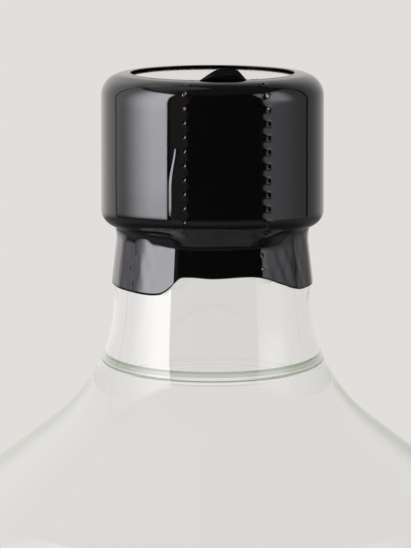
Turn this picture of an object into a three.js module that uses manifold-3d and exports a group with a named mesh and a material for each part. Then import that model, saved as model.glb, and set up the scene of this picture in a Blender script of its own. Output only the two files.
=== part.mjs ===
// A round glass gin bottle, filled and sealed: a bar-top stopper sits in the mouth, and a capsule of
// shrink film covers the stopper's head and the glass ring under it. Millimetres, +Z up, and the origin
// is the middle of the ring that the bottle stands on. The tear strip faces -Y.
import * as THREE from "three";
import { mergeVertices } from "three/addons/utils/BufferGeometryUtils.js";
import Module from "manifold-3d";

const wasm = await Module();
wasm.setup();

// Bottle, outside
const GLASS_HEIGHT = 195;
const BODY_RADIUS = 44;
const HEEL_ROUND = 7;
const BEARING_WIDTH = 6;
const PUNT_DEPTH = 4;
const PUNT_SLOPE_RUN = 5;
const PUNT_ROUND = 6;
const SHOULDER_ROUND = 12;
const SHOULDER_SLOPE = THREE.MathUtils.degToRad(37.1);
const NECK_ROOT_RADIUS = 16.2;
const NECK_ROOT_BELOW_MOUTH = 32.8;
const NECK_ROOT_ROUND = 24;
const NECK_TOP_RADIUS = 14.25;

// Bottle, mouth ring
const RING_RADIUS = 16.85;
const RING_HEIGHT = 8.7;
const RING_TOP_ROUND = 0.6;
const RING_FOOT_ROUND = 1.8;
const RING_ROOT_ROUND = 0.7;

// Bottle, inside
const WALL = 3.8;
const BORE_RADIUS = 9.25;
const BORE_MOUTH_ROUND = 0.8;
const BORE_ROOT_ROUND = 30;
const FLOOR_THICKNESS = 7;
const FLOOR_RISE = 2.5;
const FLOOR_ROUND = 10;

// Liquid
const FILL_BELOW_MOUTH = 32.5;
const FILL_CLEARANCE = 0.3;
const MENISCUS_RISE = 1.9;
const MENISCUS_RUN = 2.6;

// Stopper
const HEAD_RADIUS = 16.9;
const HEAD_HEIGHT = 14;
const HEAD_TOP_ROUND = 3.1;
const HEAD_FOOT_ROUND = 0.6;
const SOCKET_DEPTH = 4;
const SHANK_LENGTH = 17.5;
const SHANK_CLEARANCE = 0.1;
const SHANK_TIP_ROUND = 1.5;

// Shrink capsule
const FILM = 0.2;
const FILM_CLEARANCE = 0.1;
const OPENING_RADIUS = 12.7;
const RIM_WIDTH = 0.5;
const RIM_STAND = 0.35;
const SKIRT_LENGTH = 6.9;
const SKIRT_SLACK = 0.2;
// The skirt's free edge, as pairs of an angle round the neck from -Y towards +X, in degrees, and how far
// the edge hangs below the shortest place: two lobes beside the tear strip, and slow waves at the back.
const SKIRT_EDGE = [
  [-78, 2.5],
  [-52, 2.9],
  [-31, 2.9],
  [-24, 1.6],
  [-18, 0.1],
  [0, 0.2],
  [22, 0],
  [31, 0.4],
  [41, 1.3],
  [57, 2.6],
  [82, 2.3],
  [120, 1.6],
  [165, 2.2],
  [205, 1.4],
  [245, 2.1],
];

// Tear strip
const STRIP_MIDDLE = THREE.MathUtils.degToRad(7.5);
const STRIP_HALF_ANGLE = THREE.MathUtils.degToRad(22.3);
const PUNCH_RADIUS = 0.4;
const PUNCH_PITCH = 2.17;
const PUNCH_FIRST_LEFT = 0.3;
const PUNCH_FIRST_RIGHT = 0.7;
const PUNCH_COLLAR = 0.22;
const PUNCH_COLLAR_HEIGHT = 0.12;
const TAB_WIDTH = 7.4;
const TAB_LENGTH = 2.7;
const TAB_LEAN = THREE.MathUtils.degToRad(42);
const TAB_SET_IN = 0.25;

// How finely round things are cut into flats
const GLASS_SIDES = 48;
const FILM_SIDES = 60;
const PUNCH_SIDES = 7;
const FLAT_DEPTH = 0.085;
const TAB_STEPS = 8;
const MENISCUS_STEPS = 4;
const EDGE_STEPS = 240;
const WELD_DISTANCE = 1e-4;

// Places that follow from the sizes above
const MOUTH_Z = GLASS_HEIGHT;
const RING_FOOT_Z = MOUTH_Z - RING_HEIGHT;
const NECK_ROOT_Z = MOUTH_Z - NECK_ROOT_BELOW_MOUTH;
const LEVEL_Z = MOUTH_Z - FILL_BELOW_MOUTH;
const HEAD_TOP_Z = MOUTH_Z + HEAD_HEIGHT;
const SHANK_RADIUS = BORE_RADIUS - SHANK_CLEARANCE;
const SKIRT_Z = RING_FOOT_Z - SKIRT_LENGTH;

// A corner of a turned outline: its place and the radius it is rounded to.
function corner(r, z, round = 0) {
  return { at: new THREE.Vector2(r, z), round };
}

// The points of an outline with its corners rounded by arcs. The ends stay sharp.
function roundedOutline(corners) {
  const points = [];
  corners.forEach(({ at, round }, i) => {
    if (round <= 0 || i === 0 || i === corners.length - 1) {
      points.push(at.clone());
      return;
    }
    const back = corners[i - 1].at.clone().sub(at);
    const on = corners[i + 1].at.clone().sub(at);
    const turn = Math.PI - Math.acos(back.clone().normalize().dot(on.clone().normalize()));
    const reach = round * Math.tan(turn / 2);
    const start = at.clone().add(back.setLength(reach));
    const end = at.clone().add(on.setLength(reach));
    const steps = Math.max(2, Math.round(turn / (2 * Math.acos(1 - FLAT_DEPTH / round))));
    const bisector = back.clone().add(on).setLength(round / Math.cos(turn / 2));
    const centre = at.clone().add(bisector);
    const side = Math.sign(start.clone().sub(centre).cross(end.clone().sub(centre)));
    for (let k = 0; k <= steps; k += 1) {
      points.push(start.clone().rotateAround(centre, (side * turn * k) / steps));
    }
  });
  return points;
}

// A closed solid of revolution, with the seam at the same angle for every piece.
function turned(outline, sides = GLASS_SIDES) {
  return new THREE.LatheGeometry(outline, sides).rotateX(Math.PI / 2);
}

function solidOf(geometry) {
  const bare = geometry.clone();
  bare.deleteAttribute("normal");
  bare.deleteAttribute("uv");
  const merged = mergeVertices(bare, WELD_DISTANCE);
  return new wasm.Manifold(
    new wasm.Mesh({
      numProp: 3,
      vertProperties: new Float32Array(merged.attributes.position.array),
      triVerts: new Uint32Array(merged.index.array),
    }),
  );
}

function geometryOf(solid) {
  const { vertProperties, triVerts } = solid.getMesh();
  const geometry = new THREE.BufferGeometry();
  geometry.setAttribute("position", new THREE.BufferAttribute(vertProperties, 3));
  geometry.setIndex(new THREE.BufferAttribute(triVerts, 1));
  const flat = geometry.toNonIndexed();
  flat.computeVertexNormals();
  return flat;
}

// Height of the shoulder's slope at a radius, moved square to itself into the glass by an inset.
function slopeZ(r, inset = 0) {
  const drop = (r - NECK_ROOT_RADIUS) * Math.tan(SHOULDER_SLOPE);
  return NECK_ROOT_Z - drop - inset / Math.cos(SHOULDER_SLOPE);
}

// Where an outline, walked from its start, first climbs through a height.
function crossing(points, z) {
  const i = points.findIndex((point, k) => k > 0 && points[k - 1].y < z && point.y >= z);
  const [below, above] = [points[i - 1], points[i]];
  return { i, at: below.clone().lerp(above, (z - below.y) / (above.y - below.y)) };
}

// The outer wall from the middle of the pushed-up base to the top of the mouth ring.
function outerWall() {
  const puntRadius = BODY_RADIUS - HEEL_ROUND - BEARING_WIDTH;
  return [
    corner(0, PUNT_DEPTH),
    corner(puntRadius - PUNT_SLOPE_RUN, PUNT_DEPTH, PUNT_ROUND),
    corner(puntRadius, 0),
    corner(BODY_RADIUS, 0, HEEL_ROUND),
    corner(BODY_RADIUS, slopeZ(BODY_RADIUS), SHOULDER_ROUND),
    corner(NECK_ROOT_RADIUS, NECK_ROOT_Z, NECK_ROOT_ROUND),
    corner(NECK_TOP_RADIUS, RING_FOOT_Z, RING_ROOT_ROUND),
    corner(RING_RADIUS, RING_FOOT_Z, RING_FOOT_ROUND),
    corner(RING_RADIUS, MOUTH_Z, RING_TOP_ROUND),
  ];
}

// Radius of the glass that the skirt hangs round, at a height.
function neckRadius(z) {
  return crossing(roundedOutline(outerWall()), z).at.x;
}

// The inner wall from the middle of the floor to the mouth. An inset keeps another piece clear of it.
function innerWall(inset) {
  const bodyRadius = BODY_RADIUS - WALL - inset;
  const boreRadius = BORE_RADIUS - inset;
  const floorZ = PUNT_DEPTH + FLOOR_THICKNESS + inset;
  const boreRootZ = slopeZ(boreRadius, WALL + inset);
  return [
    corner(0, floorZ),
    corner(bodyRadius, floorZ - FLOOR_RISE, FLOOR_ROUND - inset),
    corner(bodyRadius, slopeZ(bodyRadius, WALL + inset), Math.max(SHOULDER_ROUND - WALL, WALL) - inset),
    corner(boreRadius, boreRootZ, BORE_ROOT_ROUND),
    corner(boreRadius, MOUTH_Z),
  ];
}

// One wall of glass from the base up over the mouth and down to the floor inside.
function makeBottle() {
  const inside = innerWall(0).reverse();
  inside[0].round = BORE_MOUTH_ROUND;
  return turned(roundedOutline([...outerWall(), ...inside]));
}

// The liquid fills the bottle to its level, and climbs the glass in a hollow curve.
function makeFill() {
  const wall = roundedOutline(innerWall(FILL_CLEARANCE));
  const { i, at } = crossing(wall, LEVEL_Z + MENISCUS_RISE);
  const surface = new THREE.QuadraticBezierCurve(
    at,
    new THREE.Vector2(at.x, LEVEL_Z),
    new THREE.Vector2(at.x - MENISCUS_RUN, LEVEL_Z),
  );
  return turned([...wall.slice(0, i), ...surface.getPoints(MENISCUS_STEPS), new THREE.Vector2(0, LEVEL_Z)]);
}

// The head sits on the mouth ring, with a blind socket under it for the shank.
function makeHead() {
  return turned(
    roundedOutline([
      corner(0, MOUTH_Z + SOCKET_DEPTH),
      corner(BORE_RADIUS, MOUTH_Z + SOCKET_DEPTH),
      corner(BORE_RADIUS, MOUTH_Z),
      corner(HEAD_RADIUS, MOUTH_Z, HEAD_FOOT_ROUND),
      corner(HEAD_RADIUS, HEAD_TOP_Z, HEAD_TOP_ROUND),
      corner(0, HEAD_TOP_Z),
    ]),
  );
}

// The shank fills the socket and plugs the bore.
function makeShank() {
  const topZ = MOUTH_Z + SOCKET_DEPTH;
  return turned(
    roundedOutline([
      corner(0, topZ - SHANK_LENGTH),
      corner(SHANK_RADIUS, topZ - SHANK_LENGTH, SHANK_TIP_ROUND),
      corner(SHANK_RADIUS, topZ),
      corner(0, topZ),
    ]),
  );
}

// One face of the film from the opening to the skirt's edge, at a distance out from what it covers.
function filmFace(out) {
  const creaseRadius = NECK_TOP_RADIUS + out;
  const footZ = RING_FOOT_Z - out;
  const coverRadius = Math.max(HEAD_RADIUS, RING_RADIUS) + out;
  return roundedOutline([
    corner(OPENING_RADIUS, HEAD_TOP_Z + out),
    corner(coverRadius, HEAD_TOP_Z + out, HEAD_TOP_ROUND + out),
    corner(coverRadius, footZ, RING_FOOT_ROUND + out),
    corner(creaseRadius, footZ, Math.max(RING_ROOT_ROUND - out, FILM)),
    corner(neckRadius(SKIRT_Z) + SKIRT_SLACK + out, SKIRT_Z),
  ]);
}

// How far the free edge hangs at an angle, from a smooth closed curve through the listed places.
function edgeDrops() {
  const flat = SKIRT_EDGE.map(([angle, drop]) => new THREE.Vector3(angle, drop, 0));
  const [first, last] = [flat[0], flat[flat.length - 1]];
  const before = new THREE.Vector3(last.x - 360, last.y, 0);
  const after = new THREE.Vector3(first.x + 360, first.y, 0);
  const points = new THREE.CatmullRomCurve3([before, ...flat, after]).getPoints(EDGE_STEPS);
  return (angle) => {
    const wrapped = angle < first.x ? angle + 360 : angle;
    const i = Math.max(1, points.findIndex((point) => point.x >= wrapped));
    const [a, b] = [points[i - 1], points[i]];
    return Math.max(0, THREE.MathUtils.mapLinear(wrapped, a.x, b.x, a.y, b.y));
  };
}

// Angle round the axis from -Y towards +X, in degrees between -180 and 180.
function bearing(x, y) {
  return THREE.MathUtils.radToDeg(Math.atan2(x, -y));
}

// The plain capsule: a thin shell with a standing rim at its opening and a lobed free edge.
function makeCapsuleShell() {
  const outer = filmFace(FILM_CLEARANCE + FILM);
  const inner = filmFace(FILM_CLEARANCE);
  const rimTopZ = HEAD_TOP_Z + FILM_CLEARANCE + FILM + RIM_STAND;
  const rim = [
    new THREE.Vector2(OPENING_RADIUS, rimTopZ),
    new THREE.Vector2(OPENING_RADIUS + RIM_WIDTH, rimTopZ),
    new THREE.Vector2(OPENING_RADIUS + RIM_WIDTH, outer[0].y),
  ];
  const section = [...inner, ...outer.slice(1).reverse(), ...rim.reverse(), inner[0].clone()];
  const shell = turned(section, FILM_SIDES);
  const place = shell.attributes.position;
  const drop = edgeDrops();
  for (let i = 0; i < place.count; i += 1) {
    const [x, y, z] = [place.getX(i), place.getY(i), place.getZ(i)];
    if (z <= SKIRT_Z + FILM / 2) {
      const lower = drop(bearing(x, y));
      const grow = (neckRadius(z - lower) - neckRadius(z)) / Math.hypot(x, y);
      place.setXYZ(i, x * (1 + grow), y * (1 + grow), z - lower);
    }
  }
  return solidOf(shell);
}

// Places along the film's outer face at an even pitch, each with the direction square to the film.
function punchPlaces(first) {
  const face = filmFace(FILM_CLEARANCE + FILM);
  const places = [];
  let walked = 0;
  let next = first;
  for (let i = 1; i < face.length; i += 1) {
    const run = face[i].clone().sub(face[i - 1]);
    while (next <= walked + run.length()) {
      const at = face[i - 1].clone().lerp(face[i], (next - walked) / run.length());
      places.push({ at, square: new THREE.Vector2(-run.y, run.x).normalize() });
      next += PUNCH_PITCH;
    }
    walked += run.length();
  }
  return places.slice(0, -1);
}

// A round bar square to the film at one place of a line, from under the film to a height above it.
function punchBar({ at, square }, angle, radius, under, above) {
  const bar = new THREE.CylinderGeometry(radius, radius, under + above, PUNCH_SIDES);
  bar.translate(0, (above - under) / 2, 0);
  bar.rotateZ(-Math.atan2(square.x, square.y));
  bar.translate(at.x, at.y, 0);
  bar.rotateX(Math.PI / 2);
  bar.rotateZ(angle - Math.PI / 2);
  return solidOf(bar);
}

// The pull tab: a half-moon of film that stands up from the near rim and leans in over the opening.
function makeTab() {
  const outline = new THREE.Shape();
  outline.moveTo(-TAB_WIDTH / 2, -FILM);
  outline.lineTo(-TAB_WIDTH / 2, 0);
  outline.absellipse(0, 0, TAB_WIDTH / 2, TAB_LENGTH, Math.PI, 0, true);
  outline.lineTo(TAB_WIDTH / 2, -FILM);
  const sheet = { depth: FILM, bevelEnabled: false, curveSegments: TAB_STEPS };
  const tab = new THREE.ExtrudeGeometry(outline, sheet);
  tab.rotateX(TAB_LEAN);
  tab.translate(0, TAB_SET_IN - OPENING_RADIUS, HEAD_TOP_Z + FILM_CLEARANCE + FILM);
  tab.rotateZ(STRIP_MIDDLE);
  return solidOf(tab);
}

// The capsule with its tear strip: the tab, and two lines of punched holes with raised collars.
function makeCapsule() {
  const lines = [
    { angle: STRIP_MIDDLE - STRIP_HALF_ANGLE, first: PUNCH_FIRST_LEFT },
    { angle: STRIP_MIDDLE + STRIP_HALF_ANGLE, first: PUNCH_FIRST_RIGHT },
  ];
  let capsule = makeCapsuleShell().add(makeTab());
  lines.forEach(({ angle, first }) => {
    punchPlaces(first).forEach((place, i) => {
      if (i > 0) {
        const collarRadius = PUNCH_RADIUS + PUNCH_COLLAR;
        capsule = capsule.add(punchBar(place, angle, collarRadius, FILM / 2, PUNCH_COLLAR_HEIGHT));
      }
      capsule = capsule.subtract(punchBar(place, angle, PUNCH_RADIUS, 2 * FILM, FILM + RIM_STAND));
    });
  });
  return geometryOf(capsule);
}

const clearGlass = new THREE.MeshStandardMaterial({
  color: 0xe6eeea,
  roughness: 0.03,
  metalness: 0,
  transparent: true,
  opacity: 0.35,
});
const clearLiquid = new THREE.MeshStandardMaterial({
  color: 0xf2f6f4,
  roughness: 0.02,
  metalness: 0,
  transparent: true,
  opacity: 0.3,
});
const silverHead = new THREE.MeshStandardMaterial({ color: 0xcfcfce, roughness: 0.22, metalness: 1 });
const paleCork = new THREE.MeshStandardMaterial({ color: 0xc9b48f, roughness: 0.8, metalness: 0 });
const blackFilm = new THREE.MeshStandardMaterial({ color: 0x070708, roughness: 0.12, metalness: 0 });

function piece(name, geometry, material) {
  const mesh = new THREE.Mesh(geometry, material);
  mesh.name = name;
  return mesh;
}

const bottle = new THREE.Group();
bottle.add(
  piece("bottle_glass", makeBottle(), clearGlass),
  piece("gin_fill", makeFill(), clearLiquid),
  piece("stopper_shank", makeShank(), paleCork),
  piece("stopper_head", makeHead(), silverHead),
  piece("shrink_capsule", makeCapsule(), blackFilm),
);

export default bottle;
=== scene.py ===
# A filled gin bottle with its neck sealed by a glossy black shrink capsule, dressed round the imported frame.
# Lengths are in metres, +Z is up, and the tear strip faces -Y, towards the camera.
import math

import bmesh
import bpy
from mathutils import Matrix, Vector


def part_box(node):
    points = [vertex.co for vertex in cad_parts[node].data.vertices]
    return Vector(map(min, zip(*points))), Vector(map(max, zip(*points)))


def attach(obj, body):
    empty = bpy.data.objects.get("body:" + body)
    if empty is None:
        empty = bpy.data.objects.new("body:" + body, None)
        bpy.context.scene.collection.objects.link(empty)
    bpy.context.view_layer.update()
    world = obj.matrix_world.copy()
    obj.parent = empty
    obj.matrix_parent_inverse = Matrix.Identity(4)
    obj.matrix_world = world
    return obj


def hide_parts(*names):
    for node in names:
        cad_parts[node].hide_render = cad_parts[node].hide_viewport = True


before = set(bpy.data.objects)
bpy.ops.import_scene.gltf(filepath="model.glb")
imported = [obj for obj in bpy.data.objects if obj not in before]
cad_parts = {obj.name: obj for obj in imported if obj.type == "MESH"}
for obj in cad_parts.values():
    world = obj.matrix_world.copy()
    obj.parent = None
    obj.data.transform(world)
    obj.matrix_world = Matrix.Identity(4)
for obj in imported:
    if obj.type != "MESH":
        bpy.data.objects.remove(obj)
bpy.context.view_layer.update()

MM = 0.001

# Bottle
BODY_RADIUS = 44 * MM
HEEL_ROUND = 7 * MM
BEARING_WIDTH = 6 * MM
BEARING_ROUND = 0.4 * MM
PUNT_DEPTH = 4 * MM
PUNT_SLOPE_RUN = 5 * MM
PUNT_ROUND = 6 * MM
SHOULDER_ROUND = 8 * MM
SHOULDER_SLOPE = math.radians(37.1)
NECK_ROOT_RADIUS = 16.2 * MM
NECK_ROOT_BELOW_MOUTH = 32.8 * MM
NECK_ROOT_ROUND = 24 * MM
NECK_TOP_RADIUS = 14.25 * MM
RING_RADIUS = 16.85 * MM
RING_HEIGHT = 8.7 * MM
RING_TOP_ROUND = 0.6 * MM
RING_FOOT_ROUND = 1.8 * MM
RING_ROOT_ROUND = 0.7 * MM
WALL = 3.8 * MM
BORE_RADIUS = 9.25 * MM
BORE_MOUTH_ROUND = 0.8 * MM
BORE_ROOT_ROUND = 30 * MM
FLOOR_THICKNESS = 7 * MM
FLOOR_RISE = 2.5 * MM
FLOOR_ROUND = 10 * MM
MOUTH_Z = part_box("bottle_glass")[1][2]
RING_FOOT_Z = MOUTH_Z - RING_HEIGHT
NECK_ROOT_Z = MOUTH_Z - NECK_ROOT_BELOW_MOUTH

# Liquid
LEVEL_BELOW_MOUTH = 32.75 * MM
LEVEL_Z = MOUTH_Z - LEVEL_BELOW_MOUTH
MENISCUS_RISE = 1.9 * MM
WET_TOP_Z = LEVEL_Z + MENISCUS_RISE
MENISCUS_RUN = 2.6 * MM
MENISCUS_STEPS = 12
WET_GAP = 0.02 * MM

# Stopper
HEAD_RADIUS = 16.9 * MM
HEAD_TOP_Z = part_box("stopper_head")[1][2]
HEAD_TOP_ROUND = 3.1 * MM
HEAD_FOOT_ROUND = 0.6 * MM
SOCKET_DEPTH = 4 * MM
SHANK_RADIUS = 9.15 * MM
SHANK_FOOT_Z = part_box("stopper_shank")[0][2]
SHANK_TIP_ROUND = 1.5 * MM

# Capsule: its outer face, from the opening to the skirt's free edge
FILM = 0.14 * MM
FILM_OUT = 0.3 * MM
FILM_TOP_Z = HEAD_TOP_Z + FILM_OUT
COVER_RADIUS = HEAD_RADIUS + FILM_OUT
COVER_TOP_ROUND = 3.4 * MM
COVER_FOOT_ROUND = 2.1 * MM
CREASE_ROUND = 0.4 * MM
OPENING_RADIUS = 12.7 * MM
RIM_STAND = 0.12 * MM
RIM_RUN = 0.7 * MM
RIM_FADES = (90, 150)
SKIRT_LENGTH = 6.9 * MM
SKIRT_SLACK = 0.2 * MM
SKIRT_END_Z = RING_FOOT_Z - SKIRT_LENGTH
# The free edge, as pairs of an angle from -Y towards +X, in degrees, and a hang in millimetres
SKIRT_EDGE = (
    (-78, 2.5),
    (-52, 2.9),
    (-31, 2.9),
    (-24, 1.6),
    (-18, 0.1),
    (0, 0.2),
    (22, 0.0),
    (31, 0.4),
    (41, 1.3),
    (57, 2.6),
    (82, 2.3),
    (120, 1.6),
    (165, 2.2),
    (205, 1.4),
    (245, 2.1),
)

# How many parts of the film's outline come before its side, its lower bend, its crease and its skirt
BEFORE_SIDE = 2
BEFORE_LOWER_BEND = 3
BEFORE_CREASE = 5
BEFORE_SKIRT = 6

# Tear strip, with angles in degrees from -Y towards +X
LEFT_LINE = -14.8
RIGHT_LINE = 29.8
PUNCH_PITCH = 2.17 * MM
PUNCH_FIRST = 0.3 * MM
PUNCH_LAG = 0.4 * MM
LAG_FADES_FROM = RIGHT_LINE + 5
LAG_ENDS = 120
LAG_STARTS_WITHIN = 2 * MM
LAG_ENDS_WITHIN = 3 * MM
PUNCH_COUNT = 16
PUNCH_RADIUS = 0.36 * MM
PUNCH_REACH = PUNCH_RADIUS * 1.05
PUNCH_ROOM = 0.6 * MM
COLLAR_HEIGHT = 0.055 * MM
LEFT_PUNCH_SCALE = 0.6
SKIRT_PUNCH_SCALE = 0.3
TAB_AZIMUTH = 7.5
TAB_MIDDLE = math.radians(TAB_AZIMUTH)
TAB_HALF_WIDTH = 3.75 * MM
TAB_LENGTH = 1.95 * MM
TAB_LEAN = math.radians(20)
TAB_BULGE = 0.45 * MM
TAB_SET_IN = 0.25 * MM
TAB_COLUMNS = 20
TAB_ROWS = 6
# Where the tab rises on its left and falls on its right, in half widths, and how steeply
TAB_RISE = (-1.1, -0.05)
TAB_RISE_POWER = 0.75
TAB_FALL = (0.4, 1.05)
TAB_FALL_POWER = 1.5

# Folds and crumples of the film, with angles in degrees and lengths walked down its side
FOLD_ANGLE = -21.2
FOLD_HALF_WIDTH = 1.3
FOLD_HEIGHT = 0.06 * MM
FOLD_DRIFT = 3.0
FOLD_DRIFT_REACH = 7 * MM
FOLD_COLUMN_STEP = 0.6
FOLD_COLUMNS = [FOLD_ANGLE + FOLD_COLUMN_STEP * step for step in range(-4, 10)]
FOLD_FROM = 5.5 * MM
FOLD_TO = 17.5 * MM
FOLD_FADE = 1.5 * MM
# Sides that the skirt spans flat, each as the angle of its middle and half its width in degrees
FLAT_SIDES = ((-33.5, 11), (-56, 9), (43, 11), (66, 9))
FLAT_FADE = 9
CRUMPLE_HEIGHT = 0.12 * MM
CRUMPLE_TURN = 0.9
CRUMPLE_RUN = 1.1
CRUMPLE_MIDDLE = 50
CRUMPLE_REACH = 25
LINE_FOLD = 0.1 * MM
LINE_FOLD_ANGLE = RIGHT_LINE - 2
LINE_FOLD_REACH = 2.6
SKIRT_WAVE_FADE = 2.5 * MM
SPAN_LEAVES = math.radians(37)
SPAN_LANDS = 1.7 * MM
SPAN_TIGHT = 24
SPAN_LOOSE = 40
SPAN_LOOSENING = 0.65

# Optics
GLASS_IOR = 1.52
FILLED_IOR = 1.3
GIN_IOR = 1.36
CLEAR = (1.0, 1.0, 1.0, 1.0)
GLASS_CLEAR = (0.97, 0.975, 0.965, 1.0)
GLASS_EDGE = (0.38, 0.45, 0.34, 1.0)
EDGE_DEPTH = (0.66, 0.87)
EDGE_SIDE = 30 * MM
EDGE_FADE = 1.5 * MM
DRY_SHARE = 0.1
# Painted shade and painted glints at the liquid's curled edge: the colour of the dark lines, and the glow of
# the bright ones
WATERLINE_PAINTED_SHADE = (0.2, 0.27, 0.17, 1.0)
WATERLINE_PAINTED_GLINT = (0.12, 0.12, 0.11, 1.0)
# Painted shade lines and painted glints along the liquid's curled edge, in millimetres below its top: a
# start, an end, a softness and a strength
TOP_LINE = (-0.1, 0.95, 0.08, 0.55)
TOP_LINE_CORE = (0.05, 0.4, 0.12, 0.27)
MIDDLE_LINE = (1.27, 1.49, 0.05, 1.1)
SIDE_PAINTED_SHADE = (0.9, 1.6, 0.1, 0.35)
FOOT_LINE = (1.9, 2.1, 0.06, 0.35)
UPPER_GLINT = (1.04, 1.16, 0.05, 0.5)
LOWER_GLINT = (1.66, 1.78, 0.05, 1.0)
LINES_AT_SIDES = 1.4
LINES_FAR_SIDE = (-4 * MM, 8 * MM, 1.0, 0.12)
LINES_MIDDLE = (-7 * MM, 7 * MM, 5 * MM)
# Ramps by height: the head's silver top, with a pale band of painted light under it, the painted shade down
# its side, and the pale cut edge of the skirt
HEAD_SILVER = (HEAD_TOP_Z - 0.6 * MM, HEAD_TOP_Z - 0.2 * MM)
HEAD_PAINTED_SHADE = (HEAD_TOP_Z - 4 * MM, HEAD_TOP_Z - 3.7 * MM, 1.0, 0.0)
EDGE_PALE = (SKIRT_END_Z + 1 * MM, SKIRT_END_Z + 2 * MM, 1.0, 0.0)
# The duller front of the film under the ring: ranges across and up, and how far round it reaches
DULL_ACROSS = (-5 * MM, 8.5 * MM, 1.5 * MM)
DULL_HEIGHTS = (RING_FOOT_Z - 2.6 * MM, RING_FOOT_Z + 0.9 * MM, 0.3 * MM)
DULL_ROUND = (-9 * MM, -6 * MM, 0.6, 0.0)
BACKDROP = (225, 222, 220)
SHADE_TINT = (0.985, 0.99, 0.985, 1.0)

# Studio. A patch is a range round, in degrees from -Y towards +X, and a range up, each with a softness.
# A level, the ceiling's left part, the ground and what is behind are ramps: two angles, and the value at
# each where they aren't 0 and 1.
LEFT_BOX = ((-118, -50, 0.6), (-8, 46, 3))
LEFT_BOX_LEVEL = (-108, -60, 0.9, 6.8)
RIGHT_BOX = ((53, 113, 1), (-12, 46, 3))
RIGHT_BOX_LEVEL = (62, 112, 0.8, 0.3)
RIGHT_GLOW = ((56, 88, 10), (6, 44, 12))
RIGHT_GLOW_LEVEL = 1.8
CARD = ((-44.5, -24, 1), (-20, 48, 3))
CARD_LEVEL = 0.14
CARD_TINT = (1.0, 0.8, 0.75)
BOX_TINT = (0.98, 0.98, 1.04)
DARK_LEVEL = 0.02
CEILING_EDGE = (48, 54)
CEILING_LEVEL = 0.06
CEILING_LEFT = ((-175, -130), (-100, -40, 0.4, 0.0))
GROUND = ((-15, -7, 1.0, 0.0), (-55, -22, 0.07, 0.2))
BEHIND_LEFT = ((-121, -119, 1.0, 0.0), (-175, -155, 1.0, 1.4), (-150, -130, 1.0, 0.85))
BEHIND_RIGHT = ((115, 118), (120, 165, 0.45, 1.0))
BEHIND_HEIGHTS = ((32, 70, 1.0, 0.0), (-16, -6))
FLOOR_RADIUS = 0.45
FLOOR_FADE = (0.18, 0.44)
FLOOR_SIDES = 96

# How finely things are cut
SIDES = 160
ARC_STEP = math.radians(4)
COLUMN_STEP = 3.8
ROW_STEP = 0.62 * MM
WELD = 0.002 * MM

# Camera: the photo is 411 pixels wide, and the capsule's top is at row 73, on the axis at column 212.5
FRAME_COLUMNS = 411
FRAME_ROWS = 548
AXIS_COLUMN = 212.5
TOP_ROW = 73
PIXEL = 0.154 * MM
CAMERA_DISTANCE = 1.0
CAMERA_ELEVATION = math.radians(5.45)
SENSOR_WIDTH = 36
LIGHT_BOUNCES = 32


# Shader maths


class Wire:
    """A node's output, with arithmetic that adds Math nodes."""

    def __init__(self, bench, socket):
        self.bench = bench
        self.socket = socket

    def math(self, operation, *others):
        return self.bench.node("ShaderNodeMath", {"operation": operation}, [self, *others])

    def __add__(self, other):
        return self.math("ADD", other)

    __radd__ = __add__

    def __sub__(self, other):
        return self.math("SUBTRACT", other)

    def __rsub__(self, other):
        return self.bench.node("ShaderNodeMath", {"operation": "SUBTRACT"}, [other, self])

    def __mul__(self, other):
        return self.math("MULTIPLY", other)

    __rmul__ = __mul__

    def __truediv__(self, other):
        return self.math("DIVIDE", other)

    def __neg__(self):
        return self.math("MULTIPLY", -1.0)

    def ramp(self, low, high, to_low=0.0, to_high=1.0):
        """A smooth step from to_low to to_high, as this value goes from low to high."""
        return self.bench.node(
            "ShaderNodeMapRange",
            {"interpolation_type": "SMOOTHSTEP"},
            {"Value": self, "From Min": low, "From Max": high, "To Min": to_low, "To Max": to_high},
        )

    def ramps(self, steps):
        """The product of a ramp for each step."""
        product = self.ramp(*steps[0])
        for step in steps[1:]:
            product = product * self.ramp(*step)
        return product

    def between(self, low, high, soft):
        """1 from low to high and 0 outside, with soft edges."""
        return self.ramp(low - soft, low + soft) * self.ramp(high - soft, high + soft, 1.0, 0.0)


class Bench:
    """A node tree that is filled one node at a time."""

    def __init__(self, tree):
        self.tree = tree
        tree.nodes.clear()

    def node(self, kind, settings=None, inputs=(), output=0):
        """Adds a node, sets it up, fills its inputs with values or wires, and gives one output as a wire."""
        made = self.tree.nodes.new(kind)
        for name, value in (settings or {}).items():
            setattr(made, name, value)
        pairs = inputs.items() if isinstance(inputs, dict) else enumerate(inputs)
        for name, value in pairs:
            if isinstance(value, Wire):
                self.tree.links.new(value.socket, made.inputs[name])
            else:
                made.inputs[name].default_value = value
        return Wire(self, made.outputs[output]) if made.outputs else None

    def blend(self, factor, first, second):
        """A colour on the way from the first to the second."""
        return self.node("ShaderNodeMix", {"data_type": "RGBA"}, {0: factor, 6: first, 7: second}, 2)

    def glow(self, value, tint):
        """A value as a colour with a tint, also above 1."""
        return self.node("ShaderNodeCombineXYZ", inputs=[value * share for share in tint])


def screen(red, green, blue):
    """The linear colour that shows as red, green and blue from 0 to 255."""
    shares = [value / 255 for value in (red, green, blue)]
    return (*[s / 12.92 if s <= 0.04045 else ((s + 0.055) / 1.055) ** 2.4 for s in shares], 1.0)


def start_material(name):
    material = bpy.data.materials.new(name)
    material.use_nodes = True
    return material, Bench(material.node_tree)


def finish_material(bench, shader):
    bench.node("ShaderNodeOutputMaterial", inputs={"Surface": shader})


def clear_shader(bench, ior, tint):
    """Bends light at a clear surface, with a tint that takes the place of the glass's own depth."""
    inputs = {"Base Color": tint, "Roughness": 0.0, "IOR": ior, "Transmission Weight": 1.0}
    return bench.node("ShaderNodeBsdfPrincipled", inputs=inputs)


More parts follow.
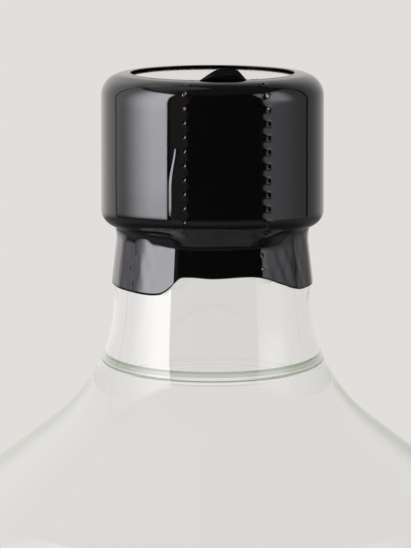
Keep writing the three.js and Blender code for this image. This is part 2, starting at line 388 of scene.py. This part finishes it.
def finish_clear(bench, clear):
    """Ends a clear material. Light on its way to a matt surface goes straight through it."""
    through = bench.node("ShaderNodeBsdfTransparent", inputs={"Color": SHADE_TINT})
    shadow = bench.node("ShaderNodeLightPath", output=1)
    scattered = bench.node("ShaderNodeLightPath", output=2)
    lets_through = shadow.math("MAXIMUM", scattered)
    finish_material(bench, bench.node("ShaderNodeMixShader", inputs=[lets_through, clear, through]))


def glass_material(name, filled):
    """Clear glass, green at its edges where it is filled. What leaves through the filled part isn't bent."""
    material, bench = start_material(name)
    place = bench.node("ShaderNodeTexCoord", output=3)
    parts = bench.node("ShaderNodeSeparateXYZ", inputs=[place]).socket.node.outputs
    x, _, z = (Wire(bench, part) for part in parts)
    wetted = z.ramp(LEVEL_Z - EDGE_FADE, WET_TOP_Z, 1.0, 0.2)
    slow = bench.node("ShaderNodeTexNoise", inputs={"Vector": place, "Scale": 90.0, "Detail": 2.0})
    edge = bench.node("ShaderNodeLayerWeight", inputs={"Blend": 0.5}, output=1)
    depth = (edge + slow * 0.05).ramp(*EDGE_DEPTH) * x.ramp(-EDGE_SIDE, EDGE_SIDE, 0.75, 1.0) * wetted
    tint = bench.blend(depth if filled else depth * DRY_SHARE, GLASS_CLEAR, GLASS_EDGE)
    clear = clear_shader(bench, FILLED_IOR if filled else GLASS_IOR, tint)
    if filled:
        leaving = bench.node("ShaderNodeNewGeometry", output=6)
        clear = bench.node("ShaderNodeMixShader", inputs=[leaving, clear, clear_shader(bench, 1.0, tint)])
    finish_clear(bench, clear)
    return material


def waterline_material():
    """The wetted inside of the glass: clear, with painted shade lines and glowing painted glints along the
    liquid's curled edge.
    """
    material, bench = start_material("wetted_glass_painted_lines")
    place = bench.node("ShaderNodeTexCoord", output=3)
    parts = bench.node("ShaderNodeSeparateXYZ", inputs=[place]).socket.node.outputs
    x, y, z = (Wire(bench, part) for part in parts)
    below = (WET_TOP_Z - z) / MM
    near = y.ramp(*LINES_FAR_SIDE)
    middle = x.between(*LINES_MIDDLE)

    def line(start, end, softness, strength):
        return below.between(start, end, softness) * strength

    # Painted shade: dark lines along the liquid's curled edge; painted glints: bright lines there that glow
    # through the emission
    dark = line(*TOP_LINE) + line(*TOP_LINE_CORE) + line(*MIDDLE_LINE) + line(*SIDE_PAINTED_SHADE) * (1 - middle)
    dark = dark * (LINES_AT_SIDES - middle * (LINES_AT_SIDES - 1)) + line(*FOOT_LINE) * middle
    bright = (line(*UPPER_GLINT) + line(*LOWER_GLINT)) * middle
    inputs = {
        "Base Color": bench.blend(dark * near, CLEAR, WATERLINE_PAINTED_SHADE),
        "Roughness": 0.0,
        "IOR": 1.0,
        "Transmission Weight": 1.0,
        "Emission Color": bench.blend(bright * near, (0.0, 0.0, 0.0, 1.0), WATERLINE_PAINTED_GLINT),
        "Emission Strength": 1.0,
    }
    finish_clear(bench, bench.node("ShaderNodeBsdfPrincipled", inputs=inputs))
    return material


def liquid_material(name, ior):
    """Clear liquid with a trace of cloud."""
    material, bench = start_material(name)
    place = bench.node("ShaderNodeTexCoord", output=3)
    slow = bench.node("ShaderNodeTexNoise", inputs={"Vector": place, "Scale": 60.0, "Detail": 1.0})
    finish_clear(bench, clear_shader(bench, ior, bench.blend(slow, CLEAR, screen(254, 255, 254))))
    return material


def film_material():
    """Glossy, nearly black film, a little uneven from shrinking and duller in front under the ring."""
    material, bench = start_material("black_film")
    place = bench.node("ShaderNodeTexCoord", output=3)
    grain = bench.node("ShaderNodeTexNoise", inputs={"Vector": place, "Scale": 2600.0, "Detail": 3.0})
    waves = bench.node("ShaderNodeTexNoise", inputs={"Vector": place, "Scale": 150.0, "Detail": 1.0})
    bump = {"Strength": 1.0, "Distance": 0.02 * MM, "Height": waves + grain * 0.04}
    inputs = {
        "Base Color": bench.blend(grain, screen(3, 3, 3), screen(7, 6, 6)),
        "Roughness": waves.ramp(0.3, 0.7, 0.05, 0.08),
        "IOR": 1.62,
        "Normal": bench.node("ShaderNodeBump", inputs=bump),
    }
    gloss = bench.node("ShaderNodeBsdfPrincipled", inputs=inputs)
    matt = bench.node("ShaderNodeBsdfDiffuse", inputs={"Color": screen(6, 6, 6)})
    parts = bench.node("ShaderNodeSeparateXYZ", inputs=[place]).socket.node.outputs
    x, y, z = (Wire(bench, part) for part in parts)
    dull = x.between(*DULL_ACROSS) * z.between(*DULL_HEIGHTS) * y.ramp(*DULL_ROUND)
    finish_material(bench, bench.node("ShaderNodeMixShader", inputs=[dull, gloss, matt]))
    return material


def cut_edge_material():
    """The film's cut edge, pale where the skirt ends and dark everywhere else."""
    material, bench = start_material("film_edge")
    place = bench.node("ShaderNodeTexCoord", output=3)
    z = Wire(bench, bench.node("ShaderNodeSeparateXYZ", inputs=[place]).socket.node.outputs[2])
    grain = bench.node("ShaderNodeTexNoise", inputs={"Vector": place, "Scale": 900.0, "Detail": 2.0})
    pale = z.ramp(*EDGE_PALE) * grain.ramp(0.3, 0.6, 0.5, 1.0)
    inputs = {"Base Color": bench.blend(pale, screen(8, 8, 8), screen(250, 248, 246)), "Roughness": 0.4}
    finish_material(bench, bench.node("ShaderNodeBsdfPrincipled", inputs=inputs))
    return material


def head_material():
    """Bright metal with a fine satin on top, a pale band of painted light under it, and painted shade down
    the side.
    """
    material, bench = start_material("silver_head")
    place = bench.node("ShaderNodeTexCoord", output=3)
    z = Wire(bench, bench.node("ShaderNodeSeparateXYZ", inputs=[place]).socket.node.outputs[2])
    grain = bench.node("ShaderNodeTexNoise", inputs={"Vector": place, "Scale": 1800.0, "Detail": 2.0})
    # Painted light and shade: a pale band under the silver top, which makes the punch holes look lit, and
    # dark paint further down the side
    side = z.ramp(*HEAD_PAINTED_SHADE)
    top = z.ramp(*HEAD_SILVER)
    silver = bench.blend(grain, screen(232, 230, 229), screen(242, 241, 240))
    inputs = {
        "Base Color": bench.blend(side, bench.blend(top, screen(236, 222, 216), silver), screen(14, 13, 13)),
        "Metallic": top,
        "Roughness": grain.ramp(0.3, 0.7, 0.05, 0.1),
    }
    finish_material(bench, bench.node("ShaderNodeBsdfPrincipled", inputs=inputs))
    return material


def cork_material():
    """Pale cork with a fine grain."""
    material, bench = start_material("pale_cork")
    place = bench.node("ShaderNodeTexCoord", output=3)
    grain = bench.node("ShaderNodeTexVoronoi", inputs={"Vector": place, "Scale": 900.0})
    blotch = bench.node("ShaderNodeTexNoise", inputs={"Vector": place, "Scale": 300.0, "Detail": 4.0})
    mixed = grain * 0.5 + blotch * 0.6
    bump = {"Strength": 0.4, "Distance": 0.1 * MM, "Height": mixed}
    inputs = {
        "Base Color": bench.blend(mixed, screen(158, 128, 86), screen(226, 206, 168)),
        "Roughness": mixed.ramp(0.2, 0.9, 0.7, 0.9),
        "Normal": bench.node("ShaderNodeBump", inputs=bump),
    }
    finish_material(bench, bench.node("ShaderNodeBsdfPrincipled", inputs=inputs))
    return material


# Turned pieces


def rounded_steps(corners):
    """Lines and arcs through corners, each a radius, a height and a rounding. The ends stay sharp."""
    places = [Vector(corner[:2]) for corner in corners]
    steps = [("line", places[0])]
    for i in range(1, len(corners)):
        here = places[i]
        rounding = corners[i][2] if i < len(corners) - 1 else 0
        if rounding <= 0:
            steps.append(("line", here))
            continue
        back = (places[i - 1] - here).normalized()
        on = (places[i + 1] - here).normalized()
        turn = math.pi - back.angle(on)
        steps.append(("line", here + back * rounding * math.tan(turn / 2)))
        centre = here + (back + on).normalized() * rounding / math.cos(turn / 2)
        side = math.copysign(1, back.y * on.x - back.x * on.y)
        steps.append(("arc", centre, side * turn))
    return steps


def swung(arm, turn):
    """An arm turned from the radius towards the height."""
    return Vector(
        (
            arm.x * math.cos(turn) - arm.y * math.sin(turn),
            arm.x * math.sin(turn) + arm.y * math.cos(turn),
        )
    )


def vertices_of(geometry):
    return [part for part in geometry if isinstance(part, bmesh.types.BMVert)]


def edges_of(geometry):
    return [part for part in geometry if isinstance(part, bmesh.types.BMEdge)]


def turned(shape, steps):
    """Draws the steps as a chain of edges, spins it round the axis, and gives the new faces."""
    old_faces = set(shape.faces)
    last = shape.verts.new((steps[0][1].x, 0, steps[0][1].y))
    chain = [last]
    for step in steps[1:]:
        if step[0] == "line":
            place = Vector((step[1].x, 0, step[1].y))
            if (place - last.co).length < WELD:
                continue
            last = vertices_of(bmesh.ops.extrude_vert_indiv(shape, verts=[last])["verts"])[0]
            last.co = place
            chain.append(last)
        else:
            _, centre, turn = step
            flats = max(2, round(abs(turn) / ARC_STEP))
            for _ in range(flats):
                last = vertices_of(bmesh.ops.extrude_vert_indiv(shape, verts=[last])["verts"])[0]
                arm = swung(Vector((last.co.x, last.co.z)) - centre, turn / flats)
                last.co = (centre.x + arm.x, 0, centre.y + arm.y)
                chain.append(last)
    edges = list({edge for vertex in chain for edge in vertex.link_edges if edge.is_wire})
    bmesh.ops.spin(
        shape,
        geom=chain + edges,
        cent=(0, 0, 0),
        axis=(0, 0, 1),
        angle=2 * math.pi,
        steps=SIDES,
        use_merge=True,
    )
    return [face for face in shape.faces if face not in old_faces]


def cut_level(shape, faces, height, clear_above=False):
    """Cuts faces at a height, so that an edge loop runs there."""
    cut = {part for face in faces for part in (*face.verts, *face.edges, face)}
    bmesh.ops.bisect_plane(
        shape,
        geom=list(cut),
        dist=WELD / 10,
        plane_co=(0, 0, height),
        plane_no=(0, 0, 1),
        clear_outer=clear_above,
    )


def finished_piece(name, shape, materials, node):
    """Makes the object, hangs it on the root body, and hides the CAD part that it takes the place of."""
    for face in shape.faces:
        face.smooth = True
    mesh = bpy.data.meshes.new(name)
    shape.to_mesh(mesh)
    shape.free()
    for material in materials:
        mesh.materials.append(material)
    piece = bpy.data.objects.new(name, mesh)
    bpy.context.scene.collection.objects.link(piece)
    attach(piece, "root")
    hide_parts(node)
    return piece


def slope_z(radius, inset=0.0):
    """Height of the shoulder's slope at a radius, moved square to itself into the glass."""
    drop = (radius - NECK_ROOT_RADIUS) * math.tan(SHOULDER_SLOPE)
    return NECK_ROOT_Z - drop - inset / math.cos(SHOULDER_SLOPE)


def outer_wall():
    punt_radius = BODY_RADIUS - HEEL_ROUND - BEARING_WIDTH
    return [
        (0, PUNT_DEPTH, 0),
        (punt_radius - PUNT_SLOPE_RUN, PUNT_DEPTH, PUNT_ROUND),
        (punt_radius, 0, BEARING_ROUND),
        (BODY_RADIUS, 0, HEEL_ROUND),
        (BODY_RADIUS, slope_z(BODY_RADIUS), SHOULDER_ROUND),
        (NECK_ROOT_RADIUS, NECK_ROOT_Z, NECK_ROOT_ROUND),
        (NECK_TOP_RADIUS, RING_FOOT_Z, RING_ROOT_ROUND),
        (RING_RADIUS, RING_FOOT_Z, RING_FOOT_ROUND),
        (RING_RADIUS, MOUTH_Z, RING_TOP_ROUND),
        (BORE_RADIUS + BORE_MOUTH_ROUND, MOUTH_Z, 0),
    ]


def inner_wall(inset=0.0):
    body = BODY_RADIUS - WALL - inset
    bore = BORE_RADIUS - inset
    floor_z = PUNT_DEPTH + FLOOR_THICKNESS + inset
    return [
        (0, floor_z, 0),
        (body, floor_z - FLOOR_RISE, FLOOR_ROUND - inset),
        (body, slope_z(body, WALL + inset), SHOULDER_ROUND - WALL - inset),
        (bore, slope_z(bore, WALL + inset), BORE_ROOT_ROUND),
        (bore, MOUTH_Z, BORE_MOUTH_ROUND),
        (bore + BORE_MOUTH_ROUND, MOUTH_Z, 0),
    ]


def make_bottle(materials):
    """One wall of glass, whose materials are for its dry part, its filled part and its wetted inside."""
    shape = bmesh.new()
    outside = turned(shape, rounded_steps(outer_wall()))
    cut_level(shape, outside, WET_TOP_Z)
    for face in shape.faces:
        face.material_index = 1 if face.calc_center_median().z < WET_TOP_Z else 0
    outside = set(shape.faces)
    inside = turned(shape, rounded_steps(inner_wall()))
    cut_level(shape, inside, WET_TOP_Z)
    for face in shape.faces:
        if face not in outside:
            face.material_index = 2 if face.calc_center_median().z < WET_TOP_Z else 0
    bmesh.ops.remove_doubles(shape, verts=shape.verts, dist=WELD)
    bmesh.ops.recalc_face_normals(shape, faces=shape.faces)
    finished_piece("clear_bottle", shape, materials, "bottle_glass")


def make_liquid(surface, side):
    """The liquid, with its edge climbing the glass in a hollow curve."""
    shape = bmesh.new()
    wall = turned(shape, rounded_steps(inner_wall(WET_GAP)))
    cut_level(shape, wall, WET_TOP_Z, clear_above=True)
    bmesh.ops.remove_doubles(shape, verts=shape.verts, dist=WELD)
    for face in shape.faces:
        face.material_index = 1
    rim = [edge for edge in shape.edges if edge.is_boundary]
    wall_radius = math.hypot(*rim[0].verts[0].co.xy)
    for i in range(1, MENISCUS_STEPS + 1):
        rim = edges_of(bmesh.ops.extrude_edge_only(shape, edges=rim)["geom"])
        share = i / MENISCUS_STEPS
        for vertex in {vertex for edge in rim for vertex in edge.verts}:
            vertex.co.xy = vertex.co.xy.normalized() * (wall_radius - MENISCUS_RUN * share**1.5)
            vertex.co.z = LEVEL_Z + MENISCUS_RISE * (1 - share) ** 2.5
    bmesh.ops.contextual_create(shape, geom=rim)
    bmesh.ops.recalc_face_normals(shape, faces=shape.faces)
    finished_piece("gin", shape, [surface, side], "gin_fill")


def make_head(metal):
    shape = bmesh.new()
    socket_z = MOUTH_Z + SOCKET_DEPTH
    corners = [
        (0, socket_z, 0),
        (BORE_RADIUS, socket_z, 0),
        (BORE_RADIUS, MOUTH_Z, 0),
        (HEAD_RADIUS, MOUTH_Z, HEAD_FOOT_ROUND),
        (HEAD_RADIUS, HEAD_TOP_Z, HEAD_TOP_ROUND),
        (0, HEAD_TOP_Z, 0),
    ]
    turned(shape, rounded_steps(corners))
    bmesh.ops.remove_doubles(shape, verts=shape.verts, dist=WELD)
    bmesh.ops.recalc_face_normals(shape, faces=shape.faces)
    finished_piece("silver_head", shape, [metal], "stopper_head")


def make_shank(cork):
    shape = bmesh.new()
    top_z = MOUTH_Z + SOCKET_DEPTH
    corners = [
        (0, SHANK_FOOT_Z, 0),
        (SHANK_RADIUS, SHANK_FOOT_Z, SHANK_TIP_ROUND),
        (SHANK_RADIUS, top_z, 0),
        (0, top_z, 0),
    ]
    turned(shape, rounded_steps(corners))
    bmesh.ops.remove_doubles(shape, verts=shape.verts, dist=WELD)
    bmesh.ops.recalc_face_normals(shape, faces=shape.faces)
    finished_piece("cork_shank", shape, [cork], "stopper_shank")


# Capsule


class FilmPath:
    """The film's outline in its own plane, walked by length from the opening."""

    def __init__(self, corners):
        self.parts = []
        last = None
        for step in rounded_steps(corners):
            if step[0] == "line":
                if last is not None:
                    run = step[1] - last
                    self.parts.append((run.length, last, run.normalized(), None))
                last = step[1]
            else:
                _, centre, turn = step
                arm = last - centre
                self.parts.append((abs(turn) * arm.length, centre, arm, turn))
                last = centre + swung(arm, turn)
        self.length = sum(part[0] for part in self.parts)

    def until(self, count):
        """Length of the first parts."""
        return sum(part[0] for part in self.parts[:count])

    def at(self, walked):
        """The place at a length, and the direction out of the film there."""
        for part in self.parts:
            if walked <= part[0] or part is self.parts[-1]:
                break
            walked -= part[0]
        length, start, arm, turn = part
        if turn is None:
            return start + arm * walked, Vector((-arm.y, arm.x))
        spoke = swung(arm, turn * walked / length)
        return start + spoke, spoke.normalized() * math.copysign(1, -turn)


def film_path():
    foot_z = RING_FOOT_Z - FILM_OUT
    skirt_z = SKIRT_END_Z
    taper = (NECK_ROOT_RADIUS - NECK_TOP_RADIUS) / (RING_FOOT_Z - NECK_ROOT_Z)
    skirt_radius = NECK_TOP_RADIUS + taper * SKIRT_LENGTH + SKIRT_SLACK + FILM_OUT
    return FilmPath(
        [
            (OPENING_RADIUS, FILM_TOP_Z, 0),
            (COVER_RADIUS, FILM_TOP_Z, COVER_TOP_ROUND),
            (COVER_RADIUS, foot_z, COVER_FOOT_ROUND),
            (NECK_TOP_RADIUS + FILM_OUT, foot_z, CREASE_ROUND),
            (skirt_radius, skirt_z, 0),
        ]
    )


def smooth(value, low, high):
    """A smooth step from 0 to 1 as the value goes from low to high."""
    share = min(1.0, max(0.0, (value - low) / (high - low)))
    return share * share * (3 - 2 * share)


def bulge(value, middle, reach):
    """A bell from 0 to 1 and back, within reach of the middle."""
    return 1 - smooth(abs(value - middle), 0, reach)


def edge_hang(angle):
    """How far the free edge hangs at an angle, by a smooth curve through the listed places."""
    places = [(at + 360 * lap, hang) for lap in (-1, 0, 1) for at, hang in SKIRT_EDGE]
    i = next(k for k, place in enumerate(places) if place[0] > angle) - 1
    (a0, h0), (a1, h1), (a2, h2), (a3, h3) = places[i - 1 : i + 3]
    share = (angle - a1) / (a2 - a1)
    leave = (h2 - h0) / (a2 - a0) * (a2 - a1)
    reach = (h3 - h1) / (a3 - a1) * (a2 - a1)
    hang = (
        (2 * share**3 - 3 * share**2 + 1) * h1
        + (share**3 - 2 * share**2 + share) * leave
        + (3 * share**2 - 2 * share**3) * h2
        + (share**3 - share**2) * reach
    )
    return max(0.0, hang) * MM


def spread(stops, step):
    """Values from the first stop to the last, evenly spaced between the stops."""
    values = [stops[0]]
    for low, high in zip(stops, stops[1:]):
        count = max(1, math.ceil((high - low) / step - 0.01))
        values += [low + (high - low) * i / count for i in range(1, count + 1)]
    return values


def punch_rows():
    return [PUNCH_FIRST + PUNCH_PITCH * i for i in range(1, PUNCH_COUNT)]


def film_sheet(path):
    """The film laid out flat, with x round the closure, y down the film, and its punched holes."""
    room = math.degrees(PUNCH_ROOM / COVER_RADIUS)
    lines = (LEFT_LINE, RIGHT_LINE)
    line_stops = [line + side for line in lines for side in (-room, 0, room)]
    columns = spread(sorted([-180, *FOLD_COLUMNS, *line_stops, 180]), COLUMN_STEP)
    row_stops = [row + side for row in punch_rows() for side in (-PUNCH_ROOM, 0, PUNCH_ROOM)]
    rows = spread(sorted({0.0, *row_stops, path.length}), ROW_STEP)
    sheet = bmesh.new()
    bmesh.ops.create_grid(sheet, x_segments=len(columns) - 1, y_segments=len(rows) - 1, size=1)
    punched = []
    for vertex in sheet.verts:
        column = round((vertex.co.x + 1) / 2 * (len(columns) - 1))
        row = round((vertex.co.y + 1) / 2 * (len(rows) - 1))
        vertex.co = (columns[column] * math.radians(1) * COVER_RADIUS, rows[row], 0)
        on_line = min(abs(columns[column] - line) for line in lines) < 0.001
        on_punch = min(abs(rows[row] - place) for place in (0, *punch_rows())) < WELD
        if on_line and on_punch:
            punched.append(vertex)
    for vertex in punched:
        for face in list(vertex.link_faces):
            far = max(face.verts, key=lambda other: (other.co - vertex.co).length)
            bmesh.ops.connect_verts(sheet, verts=[vertex, far])
    centres = [vertex.co.copy() for vertex in punched]
    bmesh.ops.bevel(
        sheet,
        geom=punched,
        offset=PUNCH_RADIUS,
        offset_type="OFFSET",
        segments=1,
        profile=0.5,
        affect="VERTICES",
        material=-1,
    )
    holes = []
    for face in sheet.faces:
        middle = face.calc_center_median()
        centre = min(centres, key=lambda place: (place - middle).length)
        shut = centre.x < 0 and centre.y > path.until(BEFORE_SKIRT)
        if not shut and max((vertex.co - centre).length for vertex in face.verts) < PUNCH_REACH:
            holes.append(face)
    for vertex in {vertex for face in holes for vertex in face.verts}:
        centre = min(centres, key=lambda place: (place - vertex.co).length)
        scale = LEFT_PUNCH_SCALE if centre.x < 0 else 1
        if centre.y > path.until(BEFORE_CREASE):
            scale = SKIRT_PUNCH_SCALE
        vertex.co = centre.lerp(vertex.co, scale)
        vertex.co.z = COLLAR_HEIGHT * scale
    bmesh.ops.delete(sheet, geom=holes, context="FACES_ONLY")
    return sheet


def flat_side(angle, middle, half):
    """Stand-off of a side that the film spans flat, which fades out beside it."""
    across = abs(angle - middle)
    ends = NECK_ROOT_RADIUS * (1 - math.cos(math.radians(half)))
    if across > half:
        return ends * (1 - smooth(across, half, half + FLAT_FADE))
    return ends + NECK_ROOT_RADIUS * (math.cos(math.radians(half)) / math.cos(math.radians(across)) - 1)


def film_wave(angle, walked, path):
    """How far the shrunk film stands off its plain form, from its fold, its flat sides and its crumples."""
    crease = path.until(BEFORE_CREASE)
    down_side = walked - path.until(BEFORE_SIDE)
    ridge_at = FOLD_ANGLE + FOLD_DRIFT * bulge(down_side, FOLD_FROM, FOLD_DRIFT_REACH)
    fold = smooth(down_side, FOLD_FROM, FOLD_FROM + FOLD_FADE)
    fold *= 1 - smooth(down_side, FOLD_TO - FOLD_FADE, FOLD_TO)
    wave = fold * FOLD_HEIGHT * bulge(angle, ridge_at, FOLD_HALF_WIDTH)
    skirt = smooth(walked, crease, crease + SKIRT_WAVE_FADE)
    if skirt > 0:
        wave += skirt * max(flat_side(angle, middle, half) for middle, half in FLAT_SIDES)
        swing = math.sin(angle * CRUMPLE_TURN + walked / MM * CRUMPLE_RUN)
        wave += CRUMPLE_HEIGHT * skirt * swing * bulge(abs(angle), CRUMPLE_MIDDLE, CRUMPLE_REACH)
        wave += LINE_FOLD * skirt * bulge(angle, LINE_FOLD_ANGLE, LINE_FOLD_REACH)
    return wave


def spanned(place, walked, angle, path):
    """Draws a place on the film towards the straight run by which the film spans the joint under the ring."""
    leaves = path.until(BEFORE_LOWER_BEND) + COVER_FOOT_ROUND * SPAN_LEAVES
    lands = path.until(BEFORE_SKIRT) + SPAN_LANDS
    if not leaves < walked < lands:
        return place
    share = (walked - leaves) / (lands - leaves)
    straight = path.at(leaves)[0].lerp(path.at(lands)[0], share)
    tight = 1 - smooth(abs(angle - TAB_AZIMUTH), SPAN_TIGHT, SPAN_LOOSE) * SPAN_LOOSENING
    return place.lerp(straight, tight)


def wrap_film(sheet, path):
    """Wraps the flat sheet round the closure."""
    skirt_start = path.until(BEFORE_SKIRT)
    for vertex in sheet.verts:
        angle = math.degrees(vertex.co.x / COVER_RADIUS)
        walked = vertex.co.y
        lag = PUNCH_LAG * (smooth(angle, LEFT_LINE, RIGHT_LINE) - smooth(angle, LAG_FADES_FROM, LAG_ENDS))
        inside = smooth(walked, 0, LAG_STARTS_WITHIN)
        inside *= 1 - smooth(walked, path.length - LAG_ENDS_WITHIN, path.length)
        walked += lag * inside
        if walked > skirt_start:
            share = (walked - skirt_start) / (path.length - skirt_start)
            walked += edge_hang(angle) * share
        place, out = path.at(walked)
        place = spanned(place, walked, angle, path) + out * (vertex.co.z + film_wave(angle, walked, path))
        place.y += RIM_STAND * (1 - smooth(walked, 0, RIM_RUN)) * (1 - smooth(abs(angle), *RIM_FADES))
        turn = math.radians(angle)
        vertex.co = (place.x * math.sin(turn), -place.x * math.cos(turn), place.y)
    bmesh.ops.remove_doubles(sheet, verts=sheet.verts, dist=WELD)


def add_tab(shape):
    """Adds the pull tab: a lopsided dome that stands up from the near rim and leans in over the opening."""
    made = bmesh.ops.create_grid(shape, x_segments=TAB_COLUMNS, y_segments=TAB_ROWS, size=1)["verts"]
    for vertex in made:
        across = vertex.co.x
        share = (vertex.co.y + 1) / 2
        up = TAB_LENGTH * share * smooth(across, *TAB_RISE) ** TAB_RISE_POWER
        up *= 1 - smooth(across, *TAB_FALL) ** TAB_FALL_POWER
        swell = TAB_BULGE * math.sin(math.pi * min(1, 1.25 * share)) * (1 - across * across)
        x = across * TAB_HALF_WIDTH
        y = TAB_SET_IN - OPENING_RADIUS + up * math.sin(TAB_LEAN) - swell
        z = FILM_TOP_Z - FILM / 2 + up * math.cos(TAB_LEAN)
        vertex.co = (
            x * math.cos(TAB_MIDDLE) - y * math.sin(TAB_MIDDLE),
            x * math.sin(TAB_MIDDLE) + y * math.cos(TAB_MIDDLE),
            z,
        )
    bmesh.ops.remove_doubles(shape, verts=made, dist=WELD)


def make_capsule(film, cut_edge):
    path = film_path()
    sheet = film_sheet(path)
    wrap_film(sheet, path)
    add_tab(sheet)
    bmesh.ops.recalc_face_normals(sheet, faces=sheet.faces)
    piece = finished_piece("film_capsule", sheet, [film, cut_edge], "shrink_capsule")
    smoothing = piece.modifiers.new("smoothing", "SUBSURF")
    smoothing.levels = 1
    smoothing.render_levels = 1
    wall = piece.modifiers.new("wall", "SOLIDIFY")
    wall.thickness = FILM
    wall.offset = -1
    wall.material_offset_rim = 1


# Studio


def studio_world():
    """A pale backdrop for the camera, plain white for matt surfaces, and two soft boxes for what shines."""
    world = bpy.data.worlds.new("studio")
    world.use_nodes = True
    bench = Bench(world.node_tree)
    way = bench.node("ShaderNodeTexCoord", output=0)
    split = bench.node("ShaderNodeSeparateXYZ", inputs=[way])
    x, y, z = (Wire(bench, output) for output in split.socket.node.outputs)
    around = x.math("ARCTAN2", -y) * math.degrees(1)
    above = z.math("ARCSINE") * math.degrees(1)

    def patch(sides, heights):
        return around.between(*sides) * above.between(*heights)

    left_box = patch(*LEFT_BOX) * around.ramp(*LEFT_BOX_LEVEL)
    right_box = patch(*RIGHT_BOX) * (patch(*RIGHT_GLOW) * RIGHT_GLOW_LEVEL + around.ramp(*RIGHT_BOX_LEVEL))
    card = patch(*CARD) * CARD_LEVEL
    ceiling = above.ramp(*CEILING_EDGE) * (CEILING_LEVEL + around.ramps(CEILING_LEFT))
    ground = above.ramps(GROUND)
    behind = (around.ramps(BEHIND_LEFT) + around.ramps(BEHIND_RIGHT)) * above.ramps(BEHIND_HEIGHTS)
    backdrop = screen(*BACKDROP)
    light = bench.glow(left_box + right_box + ceiling + ground + DARK_LEVEL, BOX_TINT)
    add = {"operation": "ADD"}
    light = bench.node("ShaderNodeVectorMath", add, [light, bench.glow(card, CARD_TINT)])
    light = bench.node("ShaderNodeVectorMath", add, [light, bench.glow(behind, backdrop[:3])])
    light = bench.blend(bench.node("ShaderNodeLightPath", output=2), light, CLEAR)
    seen = bench.node("ShaderNodeLightPath", output=0)
    seen = seen.math("MAXIMUM", bench.node("ShaderNodeLightPath", output=6))
    inputs = {"Color": bench.blend(seen, light, backdrop), "Strength": 1.0}
    sky = bench.node("ShaderNodeBackground", inputs=inputs)
    bench.node("ShaderNodeOutputWorld", inputs={"Surface": sky})
    bpy.context.scene.world = world


def studio_floor():
    """A pale disc under the bottle that fades into the backdrop, and looks dim in what shines."""
    material, bench = start_material("pale_floor")
    place = bench.node("ShaderNodeTexCoord", output=3)
    reach = bench.node("ShaderNodeVectorMath", {"operation": "LENGTH"}, [place], 1)
    grain = bench.node("ShaderNodeTexNoise", inputs={"Vector": place, "Scale": 400.0})
    inputs = {"Color": bench.blend(grain, screen(210, 207, 205), screen(213, 210, 208))}
    matt = bench.node("ShaderNodeBsdfDiffuse", inputs=inputs)
    dim = bench.node("ShaderNodeEmission", inputs={"Color": screen(78, 78, 78)})
    mirrored = bench.node("ShaderNodeLightPath", output=3)
    matt = bench.node("ShaderNodeMixShader", inputs=[mirrored, matt, dim])
    clear = bench.node("ShaderNodeBsdfTransparent")
    lit = bench.node("ShaderNodeMixShader", inputs=[reach.ramp(*FLOOR_FADE), matt, clear])
    plain = bench.node("ShaderNodeEmission", inputs={"Color": screen(*BACKDROP)})
    through_glass = bench.node("ShaderNodeLightPath", output=6)
    finish_material(bench, bench.node("ShaderNodeMixShader", inputs=[through_glass, lit, plain]))
    shape = bmesh.new()
    bmesh.ops.create_circle(shape, cap_ends=True, radius=FLOOR_RADIUS, segments=FLOOR_SIDES)
    mesh = bpy.data.meshes.new("pale_floor")
    shape.to_mesh(mesh)
    shape.free()
    mesh.materials.append(material)
    floor = bpy.data.objects.new("pale_floor", mesh)
    bpy.context.scene.collection.objects.link(floor)


def photo_camera():
    """The camera that fits the photo: about 1 m away, a little above the capsule's top."""
    focal = CAMERA_DISTANCE / PIXEL
    camera = bpy.data.cameras.new("photo_camera")
    camera.sensor_fit = "HORIZONTAL"
    camera.sensor_width = SENSOR_WIDTH
    camera.lens = focal * SENSOR_WIDTH / FRAME_COLUMNS
    camera.clip_start = 0.05
    camera.clip_end = 50
    stand = bpy.data.objects.new("photo_camera", camera)
    bpy.context.scene.collection.objects.link(stand)
    aside = (AXIS_COLUMN - FRAME_COLUMNS / 2) * PIXEL
    stand.location = (
        -aside,
        -CAMERA_DISTANCE * math.cos(CAMERA_ELEVATION),
        FILM_TOP_Z + CAMERA_DISTANCE * math.sin(CAMERA_ELEVATION),
    )
    tilt = CAMERA_ELEVATION + math.atan((FRAME_ROWS / 2 - TOP_ROW) / focal)
    stand.rotation_euler = (math.pi / 2 - tilt, 0, 0)
    bpy.context.scene.camera = stand


make_bottle(
    [
        glass_material("clear_glass", filled=False),
        glass_material("filled_glass", filled=True),
        waterline_material(),
    ]
)
make_liquid(liquid_material("gin_surface", GIN_IOR), liquid_material("gin_side", 1.0))
make_head(head_material())
make_shank(cork_material())
make_capsule(film_material(), cut_edge_material())

studio_world()
studio_floor()
photo_camera()
bpy.context.scene.view_settings.view_transform = "Standard"
bpy.context.scene.cycles.max_bounces = LIGHT_BOUNCES
bpy.context.scene.cycles.glossy_bounces = LIGHT_BOUNCES
bpy.context.scene.cycles.transmission_bounces = LIGHT_BOUNCES
bpy.context.scene.cycles.transparent_max_bounces = LIGHT_BOUNCES
